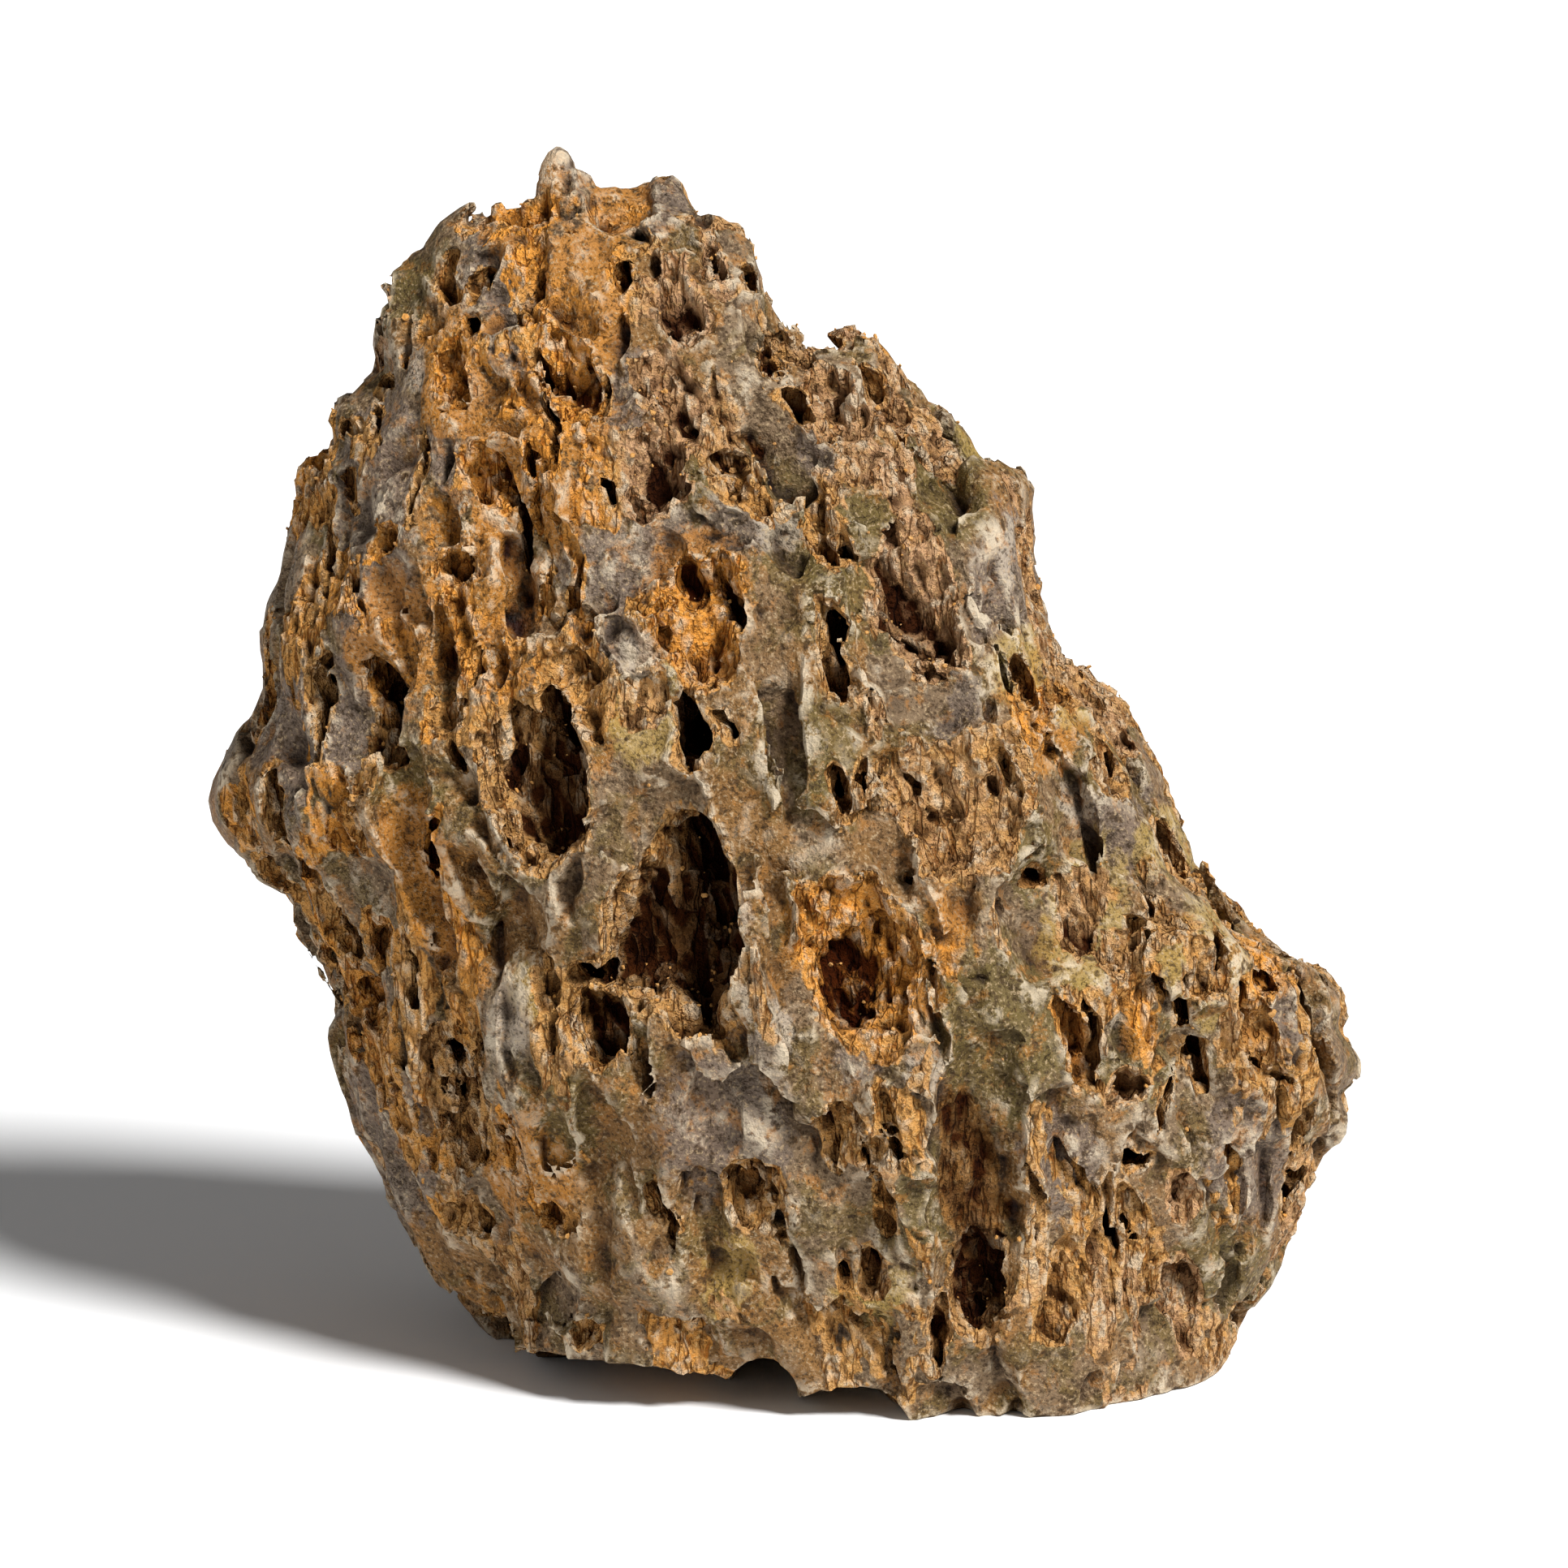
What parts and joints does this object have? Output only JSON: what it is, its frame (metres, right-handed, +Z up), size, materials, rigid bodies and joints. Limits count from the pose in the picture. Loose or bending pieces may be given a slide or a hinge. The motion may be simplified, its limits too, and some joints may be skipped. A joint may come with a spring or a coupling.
{
  "type": "aquarium dragon stone",
  "caption": "Weathered dragon stone for an aquascape: an upright mudstone lump with pits, furrows and ridges all round, on a flat base.",
  "frame": {"origin": "on the ground, under the middle of the stone's bounding box", "axes": "+Z up, +X to the right and -Y towards the viewer when the pitted front is seen"},
  "size_m": [0.179, 0.1036, 0.1875],
  "materials": {
    "mudstone": "matte weathered mudstone: grey-brown skin, ochre and rust-orange clay in the hollows"
  },
  "bodies": {
    "root": {"dragon_stone": "mudstone"}
  },
  "joints": []
}
